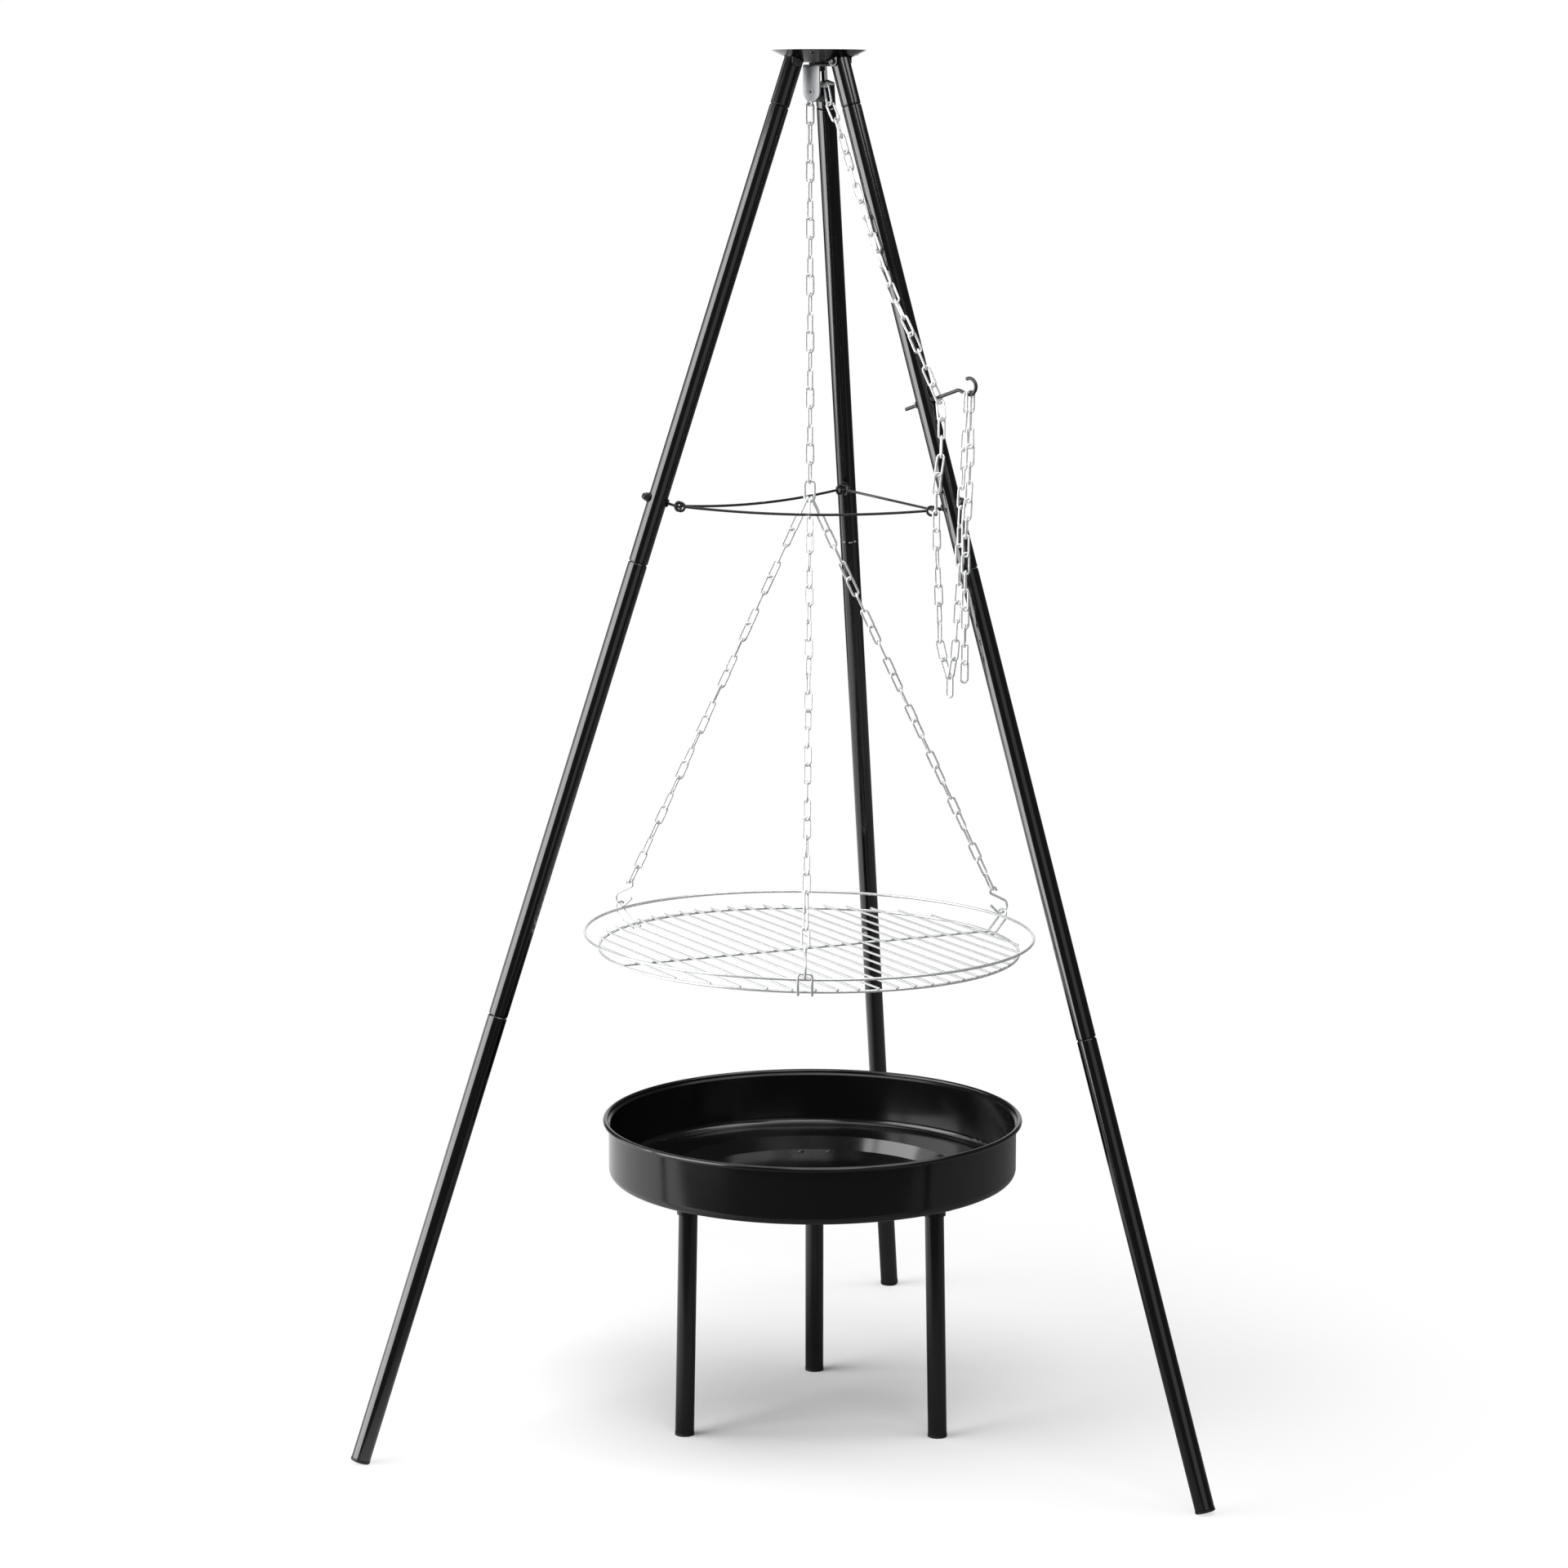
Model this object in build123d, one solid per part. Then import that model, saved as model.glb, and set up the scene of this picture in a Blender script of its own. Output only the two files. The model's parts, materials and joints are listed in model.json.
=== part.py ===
from build123d import *

import os
from math import atan2, cos, degrees, hypot, pi, radians, sin, sqrt

# A campfire tripod: three sectional legs under a dished head, a pulley and chain that
# carry a round grate, a chain hook on one leg, and a fire bowl that stands below the
# grate. Millimetres, +Z up. The floor is z = 0. Every piece is built about the tripod's
# own axis and is moved by AXIS_Y when it is saved, so that the origin is in the middle
# of the footprint.

# ---- tripod -----------------------------------------------------------------------
APEX_Z = 1670.0  # where the three leg axes would meet
FOOT_CIRCLE = 556.0  # radius of the circle through the feet
LEG_AZIMUTHS = {"left": 210.0, "right": 330.0, "back": 90.0}
TUBE_R, TUBE_WALL = 11.0, 1.2
SPIGOT_R = TUBE_R - TUBE_WALL - 0.1
SHORT_SPIGOT, LONG_SPIGOT = 24.0, 40.0
STUB_TOP, STUB_END = 93.0, 149.0  # stations along a leg, from the apex
SECTION_LENGTH = 537.0
HINGE_STATION = 98.0
BACK_STUB_TOP = 123.0  # the back stub is pinched flat above this station
PINCH_LENGTH, TONGUE_WIDTH, TONGUE_SHEET = 3.0, 20.0, 3.4

LEAN = degrees(atan2(FOOT_CIRCLE, APEX_Z))
SIN_LEAN, COS_LEAN = sin(radians(LEAN)), cos(radians(LEAN))
FOOT_END = hypot(FOOT_CIRCLE, APEX_Z) - 2.1  # where a foot cap's end face is, along the leg
CAP_R, CAP_LIP = TUBE_R + 0.3, 3.0
TUBE_BOTTOM = FOOT_END - CAP_LIP

# ---- head -------------------------------------------------------------------------
HEAD_Z, HEAD_R = 1590.0, 54.0
PAN_FLOOR_Z, PAN_FLOOR_R = 1576.5, 26.0
PAN_SHEET = 1.5
EAR_GAP, EAR_SHEET, EAR_TIP_R = 11.5, 1.8, 5.6
HINGE_BOLT_R = 2.5

# ---- pulley -----------------------------------------------------------------------
WHEEL_X, WHEEL_Z = -2.6, 1543.6  # the axle, in the wheel's own plane
LIFT_X = -13.4  # where the lift run hangs in that plane
HUB_R, FLANGE_R = 4.4, 11.2
STRAP_OFFSET, STRAP_SHEET, STRAP_WIDTH = 10.1, 2.0, 24.0
STRAP_TOP, STRAP_BOTTOM = 1574.0, 1532.7
AXLE_R, AXLE_BORE_R = 3.0, 1.7

# ---- chain ------------------------------------------------------------------------
LINK_WIRE_R = 1.25
LINK_INNER_LENGTH, LINK_INNER_HALF = 21.5, 2.9
PITCH = LINK_INNER_LENGTH - 0.2
JOINT_HALF = LINK_WIRE_R + 0.1  # from a joint to the middle of either wire that meets there
LINK_TWIST = 60.0  # each link is turned about this far from the one before
WHEEL_TWIST = 80.0  # how the two links beside the wheel are turned
HOIST_LEAN = 13.6  # how far from plumb the chain leaves the wheel
TOP_JOINT_Z = 1551.0  # where the lift run leaves the wheel
TWIST_LINKS, LIFT_LINKS = 4, 14

# ---- grate ------------------------------------------------------------------------
RIM_R, RIM_WIRE_R, RIM_Z = 261.5, 1.65, 577.0
BASE_R, BASE_WIRE_R, BASE_Z = 244.7, 1.65, 559.5
BAR_WIRE_R, BAR_PITCH, BAR_AZIMUTH = 1.3, 22.5, -51.2
BAR_REACH = 3.6  # how far a bar runs past the middle of the base ring
CROSS_ROD_R = 1.5
BARS_EACH_SIDE = 10
GRATE_TILT = 0.87  # the loaded grate hangs this much lower on the right
HANGER_AZIMUTHS = (-81.0, 39.0, 159.0)
HANGER_WIRE_R, HANGER_HALF = 1.35, 7.9
HANGER_R, HANGER_TOP = 265.0, 584.0
HOOK_WIRE_R = 1.5
BRIDLE_LINKS = 25

# ---- chain hook and stretchers ------------------------------------------------------
HOOK_STATION = 493.6
HOOK_ROD_R, CROOK_R = 2.0, 9.0
HOOK_BEND_OUT, HOOK_BEND_R = 45.5, 8.0  # where the rod starts to dip, out from the leg
CROOK_DIP, CROOK_RUN = 37.0, 10.3  # how steeply it dips, and how far before the crook
STRETCHER_Z = 1089.0
STRETCHER_R, EYE_R, LUG_R = 1.5, 4.8, 6.5
LUG_OUT = 20.0
STRETCHER_SAGS = {("left", "right"): 6.5, ("left", "back"): 6.0, ("right", "back"): 0.0}

# ---- fire bowl --------------------------------------------------------------------
BOWL_X, BOWL_Y = -5.9, -1.9
BOWL_RIM_R, BOWL_RIM_Z, BOWL_BEAD_R = 245.2, 360.6, 2.6
BOWL_WALL_R, BOWL_SHEET, BOWL_CORNER_R = 238.6, 1.5, 10.0
BOWL_FLOOR_Z = 292.0
BOWL_WELL_R, BOWL_WELL_EDGE_R, BOWL_WELL_Z = 168.0, 175.0, 277.0
BOWL_LEG_AZIMUTHS = (219.0, 339.0, 99.0)
BOWL_LEG_TOP_R, BOWL_LEG_FOOT_R = 164.0, 170.0
BOWL_PLATE, BOWL_PLATE_R = 3.0, 26.0


# ---- helpers ----------------------------------------------------------------------
def polar(radius, azimuth, z=0.0):
    """A point at a radius and an azimuth in degrees."""
    return Vector(radius * cos(radians(azimuth)), radius * sin(radians(azimuth)), z)


def leg_point(station, out=0.0):
    """A point of the leg at azimuth 0: along it from the apex, and out from its axis."""
    x = station * SIN_LEAN + out * COS_LEAN
    return Vector(x, 0, APEX_Z - station * COS_LEAN + out * SIN_LEAN)


def leg_plane(station):
    """The plane across the leg at azimuth 0: x outwards, z up the leg."""
    along = Vector(-SIN_LEAN, 0, COS_LEAN)
    return Plane(leg_point(station), x_dir=Vector(COS_LEAN, 0, SIN_LEAN), z_dir=along)


def leg_station(z):
    """How far along a leg a height is."""
    return (APEX_Z - z) / COS_LEAN


def turned(shape, azimuth):
    """A shape built at azimuth 0, turned about the tripod's axis."""
    return Rot(0, 0, azimuth) * shape


def lathe(points):
    """A solid turned about Z from (radius, height) points."""
    profile = make_face(Polyline(*[(r, 0, z) for r, z in points], close=True))
    return revolve(profile, Axis.Z)


def wire(path, radius):
    """A round wire along a path of lines and arcs that meet smoothly."""
    return sweep((path ^ 0) * Circle(radius), path)


def group(shapes):
    """Separate solids that share a node."""
    return Compound(children=[solid for shape in shapes for solid in shape.solids()])


def hexagon(radius, height):
    """A bolt head or a nut blank that stands on z = 0."""
    prism = extrude(RegularPolygon(radius, 6), height)
    return chamfer(prism.edges().group_by(Axis.Z)[-1], 0.4)


def dome(radius, height):
    """A round screw head that stands on z = 0."""
    shoulder = (radius * 0.86, height * 0.62)
    return lathe([(0, 0), (radius, 0), shoulder, (radius * 0.5, height), (0, height)])


def below(z):
    """Everything under a height, for trimming."""
    return Pos(0, 0, z - 1000) * Box(1400, 1400, 2000)


# ---- chain links --------------------------------------------------------------------
def make_link(wire_r, inner_length, inner_half):
    """One welded link, long along Z and wide along X."""
    bend_r = inner_half + wire_r
    reach = inner_length / 2 - inner_half
    bend = Rot(90, 0, 0) * Torus(bend_r, wire_r, major_angle=180, align=None)
    sides = [Pos(x, 0, 0) * Cylinder(wire_r, 2 * reach) for x in (-bend_r, bend_r)]
    half = Pos(0, 0, reach) * bend
    return half + Rot(180, 0, 0) * half + sides


LINK = make_link(LINK_WIRE_R, LINK_INNER_LENGTH, LINK_INNER_HALF)


def place_link(link, top, bottom, facing, twist):
    """A link from one joint to the next. Its width lies along facing, then is twisted."""
    along = (top - bottom).normalized()
    width = (facing - along * facing.dot(along)).normalized().rotate(Axis((0, 0, 0), along), twist)
    return Plane((top + bottom) / 2, x_dir=width, z_dir=along).location * link


def march(points, step):
    """Joints one step apart, in a straight line, along a route of straight runs."""
    joints = [points[0]]
    for start, end in zip(points, points[1:]):
        along = (end - start).normalized()
        while (end - joints[-1]).length >= step:
            offset = start - joints[-1]
            ahead = offset.dot(along)
            joints.append(start + along * (sqrt(ahead**2 - offset.dot(offset) + step**2) - ahead))
    return joints


def joints_along(points, pitch=PITCH):
    """Joints just under a pitch apart, from the first point of a route to its last."""
    count = len(march(points, pitch)) + 1
    low, high = 0.9 * pitch, pitch
    for _ in range(40):
        middle = (low + high) / 2
        if len(march(points, middle)) >= count:
            low = middle
        else:
            high = middle
    return march(points, low)[: count - 1] + [points[-1]]


def chain(joints, facing, first_twist=0.0, last_twist=None):
    """Links between joints, each turned from the one before. With a last twist, the turns
    are evened out so that the last link ends at it."""
    step, turns = LINK_TWIST, len(joints) - 2
    if last_twist is not None:
        whole = last_twist - first_twist
        step = (whole + 180 * round((LINK_TWIST * turns - whole) / 180)) / turns
    pairs = enumerate(zip(joints, joints[1:]))
    return [place_link(LINK, a, b, facing, first_twist + step * n) for n, (a, b) in pairs]


# ---- legs ---------------------------------------------------------------------------
def tube_section(top, bottom, spigot, bottom_edge=0.5):
    """A leg section with a swaged spigot above it, at azimuth 0."""
    length, inner = bottom - top, TUBE_R - TUBE_WALL
    bore = SPIGOT_R - TUBE_WALL
    profile = [
        (TUBE_R, bottom_edge),
        (TUBE_R, length - 2.2),
        (SPIGOT_R, length - 0.6),
        (SPIGOT_R, length + spigot - 1),
        (SPIGOT_R - 0.6, length + spigot),
        (bore, length + spigot),
        (bore, length - 0.6),
        (inner, length - 2.2),
        (inner, 0),
        (TUBE_R - bottom_edge, 0),
    ]
    return leg_plane(bottom).location * lathe(profile)


def cross_hole(station, radius, tangential):
    """The solid of a hole through a leg, across it or in and out."""
    drill = Rot(90, 0, 0) if tangential else Rot(0, 90, 0)
    return leg_plane(station).location * drill * Cylinder(radius, 60)


def stub_tube():
    """The short tube hinged to the head."""
    inner = TUBE_R - TUBE_WALL
    length = STUB_END - STUB_TOP
    profile = [
        (TUBE_R, 0.5),
        (TUBE_R, length),
        (inner, length),
        (inner, 0),
        (TUBE_R - 0.5, 0),
    ]
    tube = leg_plane(STUB_END).location * lathe(profile)
    return tube - cross_hole(HINGE_STATION, HINGE_BOLT_R + 0.05, True)


def back_stub_tube():
    """The back stub: a round socket below, pinched into a flat tongue above."""
    inner = TUBE_R - TUBE_WALL
    length = STUB_END - BACK_STUB_TOP
    socket = leg_plane(STUB_END).location * lathe(
        [(TUBE_R, 0.5), (TUBE_R, length), (inner, length), (inner, 0), (TUBE_R - 0.5, 0)]
    )
    round_end = leg_plane(BACK_STUB_TOP) * Circle(TUBE_R)
    flat_end = leg_plane(BACK_STUB_TOP - PINCH_LENGTH) * Ellipse(TONGUE_WIDTH / 2, TONGUE_SHEET / 2)
    pinch = loft([round_end.face(), flat_end.face()])
    tip, root = HINGE_STATION - 7, BACK_STUB_TOP - 1
    outline = Rectangle(TONGUE_WIDTH, root - tip)
    outline = fillet(outline.vertices().group_by(Axis.Y)[-1], 6.5)
    tongue = extrude(Plane.XZ * outline, TONGUE_SHEET / 2, both=True)
    tongue = leg_plane((tip + root) / 2).location * tongue
    return socket + pinch + tongue - cross_hole(HINGE_STATION, HINGE_BOLT_R + 0.05, True)


def end_cap():
    """A moulded plug for a tube's end: a thin lip outside and a plug inside."""
    plug_r = TUBE_R - TUBE_WALL - 0.05
    lip = [(0, 0), (CAP_R - 0.6, 0), (CAP_R, 0.6), (CAP_R, CAP_LIP), (plug_r, CAP_LIP)]
    return lathe(lip + [(plug_r, 15), (0, 15)])


def foot_cap():
    """The cap in a leg's end, worn level with the floor along its inner edge."""
    return leg_plane(FOOT_END).location * end_cap() - below(0)


def stretcher_bolt():
    """An eye bolt through the leg: the eye is on the inner side."""
    frame = leg_plane(leg_station(STRETCHER_Z)).location
    shank = Pos((16 - LUG_OUT + LUG_R) / 2, 0, 0) * Rot(0, 90, 0) * Cylinder(2.4, 16 + LUG_OUT - LUG_R)
    eye = Pos(-LUG_OUT, 0, 0) * Torus(LUG_R, STRETCHER_R)
    collar = Pos(-TUBE_R - 1.1, 0, 0) * Rot(0, 90, 0) * Cylinder(4.6, 1.4)
    return frame * (shank + eye + collar)


def dome_nut():
    """The domed nut on the outer end of the eye bolt, on a washer."""
    frame = leg_plane(leg_station(STRETCHER_Z)).location
    washer = Pos(TUBE_R + 0.1, 0, 0) * Rot(0, 90, 0) * lathe([(2.45, 0), (5.5, 0), (5.5, 1), (2.45, 1)])
    nut = extrude(RegularPolygon(4.6, 6), 3.6)
    cap = lathe([(0, 3.4), (4.0, 3.4), (3.7, 5.2), (2.6, 6.6), (0, 7.2)])
    body = (nut + cap) - Cylinder(2.45, 10.4)
    return frame * group([washer, Pos(TUBE_R + 1.1, 0, 0) * Rot(0, 90, 0) * body])


# ---- head ---------------------------------------------------------------------------
HINGE_X, HINGE_Z = leg_point(HINGE_STATION).X, leg_point(HINGE_STATION).Z
BOLT_REACH = EAR_GAP + EAR_SHEET + 3.4
WEB_SHEET = 1.4
WEB_Z = HEAD_Z - PAN_SHEET - WEB_SHEET
BRACKET_RIVETS = (HINGE_X - 5.5, HINGE_X + 5.5)


def pan_radius(z):
    """The radius of the pan's underside at a height."""
    return HEAD_R - (HEAD_Z - z) * (HEAD_R - PAN_FLOOR_R) / (HEAD_Z - PAN_FLOOR_Z)


PAN_SLOPE = degrees(atan2(HEAD_Z - PAN_FLOOR_Z, HEAD_R - PAN_FLOOR_R))
PAN_INSET = PAN_SHEET / sin(radians(PAN_SLOPE))  # the sheet measured across, level


def pan_rivet_frames():
    """Frames on the pan's flank between the legs, z out of the sheet."""
    frames = []
    for azimuth in (270.0, 30.0, 150.0):
        out = Vector(sin(radians(PAN_SLOPE)), 0, -cos(radians(PAN_SLOPE)))
        plane = Plane(Vector(pan_radius(1586.0), 0, 1586.0), x_dir=Vector(0, 1, 0), z_dir=out)
        frames.append(Rot(0, 0, azimuth) * plane.location)
    return frames


def leg_opening():
    """What the pan is cut by round one leg: the tube and an ear on each side."""
    tube = leg_plane(100).location * Cylinder(TUBE_R + 0.8, 60)
    return tube + Pos(HINGE_X, 0, HINGE_Z) * Box(2 * EAR_TIP_R + 3, 2 * BOLT_REACH + 1.4, 40)


def make_head_pan():
    """The pressed pan: a level floor and a conical flank that rises to a thin edge."""
    pan = lathe(
        [
            (0, PAN_FLOOR_Z),
            (PAN_FLOOR_R, PAN_FLOOR_Z),
            (HEAD_R - 0.4, HEAD_Z - 0.2),
            (HEAD_R - 0.5, HEAD_Z),
            (HEAD_R - PAN_INSET, HEAD_Z),
            (PAN_FLOOR_R - 0.35, PAN_FLOOR_Z + PAN_SHEET),
            (0, PAN_FLOOR_Z + PAN_SHEET),
        ]
    )
    cuts = [turned(leg_opening(), azimuth) for azimuth in LEG_AZIMUTHS.values()]
    cuts += [frame * Cylinder(1.5, 12) for frame in pan_rivet_frames()]
    return pan - cuts - Pos(0, 0, PAN_FLOOR_Z) * Cylinder(4.1, 10)


def make_head_cap():
    """The round cap in the top of the pan, with three tabs bent down behind its flank."""
    cap = Pos(0, 0, HEAD_Z - 0.75) * Cylinder(47.0, 1.5)
    tabs = []
    for frame in pan_rivet_frames():
        tabs.append(frame * Pos(0, 1.2, -PAN_SHEET - 1.0) * Box(9, 10, 1.6))
    cap = cap + [tab & below(HEAD_Z) for tab in tabs]
    for azimuth in LEG_AZIMUTHS.values():
        for x in BRACKET_RIVETS:
            cap -= turned(Pos(x, 0, HEAD_Z) * Cylinder(1.6, 6), azimuth)
    return cap - [frame * Cylinder(1.5, 12) for frame in pan_rivet_frames()]


def hinge_bracket():
    """A folded bracket under the cap: a web above the stub and an ear on each side."""
    width = 2 * (EAR_GAP + EAR_SHEET)
    web_top = WEB_Z + WEB_SHEET
    web = Pos(HINGE_X, 0, WEB_Z + WEB_SHEET / 2) * Box(18, width, WEB_SHEET)
    outline = Pos(HINGE_X, HINGE_Z) * Circle(EAR_TIP_R)
    outline += Pos(HINGE_X, (HINGE_Z + web_top) / 2) * Rectangle(2 * EAR_TIP_R, web_top - HINGE_Z)
    ear = extrude(Plane.XZ * outline, EAR_SHEET)
    ears = [Pos(0, EAR_GAP + EAR_SHEET, 0) * ear, Pos(0, -EAR_GAP, 0) * ear]
    bracket = web + ears
    bracket -= Pos(HINGE_X, 0, HINGE_Z) * Rot(90, 0, 0) * Cylinder(HINGE_BOLT_R + 0.05, 60)
    return bracket - [Pos(x, 0, WEB_Z) * Cylinder(1.6, 6) for x in BRACKET_RIVETS]


def bracket_rivets():
    """Two flush rivets that hold a bracket to the cap."""
    top = HEAD_Z - WEB_Z
    profile = [(0, -0.9), (3, -0.9), (3, 0), (1.6, 0), (1.6, top), (0, top)]
    return [Pos(x, 0, WEB_Z) * lathe(profile) for x in BRACKET_RIVETS]


def hinge_bolt():
    """The bolt a stub turns on, with its head on one ear."""
    shank = Pos(0, 1.2, 0) * Rot(90, 0, 0) * Cylinder(HINGE_BOLT_R, 2 * BOLT_REACH - 2.4)
    head = Pos(0, -EAR_GAP - EAR_SHEET, 0) * Rot(90, 0, 0) * dome(3.9, 2.4)
    return Pos(HINGE_X, 0, HINGE_Z) * (shank + head)


def hinge_nut():
    """The nut on the other ear."""
    nut = hexagon(4.0, 2.6) - Cylinder(HINGE_BOLT_R, 20)
    return Pos(HINGE_X, EAR_GAP + EAR_SHEET, HINGE_Z) * Rot(-90, 0, 0) * nut


def hinge_spacers():
    """Two tubes that keep the back stub's tongue in the middle of its bracket."""
    inner, outer = TONGUE_SHEET / 2 + 0.2, EAR_GAP - 0.1
    tube = Rot(90, 0, 0) * (Cylinder(4.2, outer - inner) - Cylinder(HINGE_BOLT_R + 0.05, 20))
    middle = (inner + outer) / 2
    return [Pos(HINGE_X, side * middle, HINGE_Z) * tube for side in (-1, 1)]


# ---- pulley ---------------------------------------------------------------------------
# The wheel turns in the plane of the right leg. In this frame x points to that leg,
# y along the axle, and the strap is on the -y side.
LEVEL_FRAME = Location((0, 0, 0), (0, 0, LEG_AZIMUTHS["right"]))
WHEEL_FRAME = LEVEL_FRAME * Pos(WHEEL_X, 0, WHEEL_Z)


def across(y_low, y_high, outer, inner=0.0):
    """A ring or disc on the axle between two distances along it."""
    ring = Cylinder(outer, y_high - y_low)
    if inner:
        ring -= Cylinder(inner, y_high - y_low + 2)
    return Pos(0, (y_low + y_high) / 2, 0) * Rot(90, 0, 0) * ring


def make_pulley_strap():
    """A bent zinc strip: a level flange on the centre bolt and one cheek with a round end."""
    drop = STRAP_TOP - STRAP_BOTTOM
    cheek = Pos(WHEEL_X, -STRAP_OFFSET, STRAP_TOP - drop / 2) * Box(STRAP_WIDTH, STRAP_SHEET, drop)
    cheek = fillet(cheek.edges().filter_by(Axis.Y).group_by(Axis.Z)[0], STRAP_WIDTH / 2 - 0.2)
    depth = STRAP_OFFSET + STRAP_SHEET / 2 + 9
    middle = Pos(WHEEL_X, 9 - depth / 2, STRAP_TOP - STRAP_SHEET / 2)
    flange = middle * Box(STRAP_WIDTH, depth, STRAP_SHEET)
    strap = cheek + flange
    bend = strap.edges().filter_by(Axis.X).sort_by(lambda e: e.center().Y - e.center().Z)[0]
    strap = fillet(bend, 2.6)
    strap -= Pos(0, 0, STRAP_TOP) * Cylinder(4.1, 10)
    bore = Pos(WHEEL_X, -STRAP_OFFSET, WHEEL_Z) * Rot(90, 0, 0) * Cylinder(AXLE_R, 10)
    return LEVEL_FRAME * (strap - bore)


def make_pulley_axle():
    """A hollow rivet: a rolled head outside the cheek and a long hollow shank."""
    face = -STRAP_OFFSET - STRAP_SHEET / 2
    axle = across(face, 10.4, AXLE_R) + across(face - 0.9, face, 4.4)
    return WHEEL_FRAME * (axle - across(-20, 20, AXLE_BORE_R))


def make_pulley_wheel():
    """The wheel: a hub that the links lie on between two flanges."""
    wheel = across(-6.2, 6.2, HUB_R) + across(-7.6, -6.1, FLANGE_R) + across(6.1, 7.6, FLANGE_R)
    return WHEEL_FRAME * (wheel - across(-9, 9, AXLE_R + 0.06))


def make_centre_bolt():
    """The bolt that hangs the strap from the pan, with its spacer and its nut."""
    head = Pos(0, 0, PAN_FLOOR_Z + PAN_SHEET) * hexagon(7.2, 4.5)
    shank = Pos(0, 0, 1573.4) * Cylinder(4.0, 14.0)
    spacer = Pos(0, 0, STRAP_TOP) * lathe([(4.1, 0), (6.5, 0), (6.5, 2.5), (4.1, 2.5)])
    nut = Pos(0, 0, STRAP_TOP - STRAP_SHEET - 4.6) * (hexagon(6.8, 4.6) - Cylinder(4.0, 12))
    return head + shank, group([spacer, nut])


# ---- chain runs -----------------------------------------------------------------------
def in_wheel_plane(x, z):
    """A point of the wheel's plane: x towards the right leg."""
    return polar(x, LEG_AZIMUTHS["right"], z)


LIFT_AXIS = in_wheel_plane(LIFT_X, 0)


def lift_joint(n):
    """Joint n of the lift run, counted down from the wheel."""
    return Vector(LIFT_AXIS.X, LIFT_AXIS.Y, TOP_JOINT_Z - PITCH * n)


FIRST_LIFT = 3 + TWIST_LINKS  # the joint where the lifting stretch begins
LAST_LIFT = FIRST_LIFT + LIFT_LINKS
AXLE_WAY = polar(1, LEG_AZIMUTHS["right"] + 90)


def lift_links(first, last):
    """The links of the lift run between two of its joints."""
    joints = [lift_joint(n) for n in range(first, last + 1)]
    return chain(joints, AXLE_WAY, WHEEL_TWIST + LINK_TWIST * first)


FLAT_Z = TOP_JOINT_Z - JOINT_HALF
HOIST_WAY = in_wheel_plane(sin(radians(HOIST_LEAN)), -cos(radians(HOIST_LEAN)))
HOIST_TOP = in_wheel_plane(LIFT_X + 2 * JOINT_HALF + PITCH, FLAT_Z) - HOIST_WAY * JOINT_HALF


def wheel_links():
    """The link that lies flat on the hub, and the link that hangs on each end of it."""
    ends = [in_wheel_plane(LIFT_X + JOINT_HALF + reach, FLAT_Z) for reach in (PITCH, 0)]
    return [
        place_link(LINK, HOIST_TOP, HOIST_TOP + HOIST_WAY * PITCH, AXLE_WAY, WHEEL_TWIST),
        place_link(LINK, ends[0], ends[1], AXLE_WAY, 0),
        place_link(LINK, lift_joint(0), lift_joint(1), AXLE_WAY, WHEEL_TWIST),
    ]


def beside_leg(radius, camera_side, z):
    """A point near the right leg: its distance from the tripod's axis, and how far it is
    towards the front of the leg's own plane."""
    azimuth = LEG_AZIMUTHS["right"]
    return polar(radius, azimuth, z) + polar(camera_side, azimuth - 90)


def hook_point(out, rise=0.0):
    """A point of the chain hook's own plane, before it is turned to the right leg."""
    return leg_point(HOOK_STATION, out) + Vector(-SIN_LEAN, 0, COS_LEAN) * rise


HOOK_BEND = CenterArc((HOOK_BEND_OUT, -HOOK_BEND_R), HOOK_BEND_R, 90, -CROOK_DIP)
CROOK_LEAD = Line(HOOK_BEND @ 1, (HOOK_BEND @ 1) + (HOOK_BEND % 1) * CROOK_RUN)
CROOK_CENTRE = (CROOK_LEAD @ 1) + (CROOK_LEAD % 1).rotate(Axis.Z, 90) * CROOK_R
CROOK_SEAT = hook_point(CROOK_CENTRE.X, CROOK_CENTRE.Y) - Vector(0, 0, CROOK_R - HOOK_ROD_R - 0.8)
CROOK_SHARE = 1.8  # the two chains on the crook sit this far each side of its lowest point
ROD_JOINT = hook_point(20.2) - Vector(0, 0, HOOK_ROD_R + 2 * LINK_WIRE_R + 0.8)
LOOP_JOINT = (205.6, 898.4)  # radius and height where the loop's two runs meet
LOOP_SHARE = 1.6


def hoist_joints():
    """From the wheel, round the front of the right leg, to the link that the rod holds."""
    route = [HOIST_TOP + HOIST_WAY * PITCH, in_wheel_plane(25.9, 1511.0)]
    route += [beside_leg(58.5, 10.0, 1446), beside_leg(84.0, 15.8, 1397)]
    route += [beside_leg(107.5, 17.4, 1348), beside_leg(127.0, 16.2, 1310)]
    route += [beside_leg(143.5, 12.4, 1279), beside_leg(166.5, 3.6, 1224.2)]
    return joints_along(route + [beside_leg(ROD_JOINT.X, -0.7, ROD_JOINT.Z)])


def make_chain_hook():
    """A rod through the right leg that dips into an open crook."""
    straight = Line((-30, 0), HOOK_BEND @ 0)
    crook = CenterArc(CROOK_CENTRE, CROOK_R, 270 - CROOK_DIP, 224)
    path = Wire([Plane.XZ * edge for edge in (straight, HOOK_BEND, CROOK_LEAD, crook)])
    hook = sweep((path ^ 0) * Circle(HOOK_ROD_R), path)
    return leg_plane(HOOK_STATION).location * hook


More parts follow.
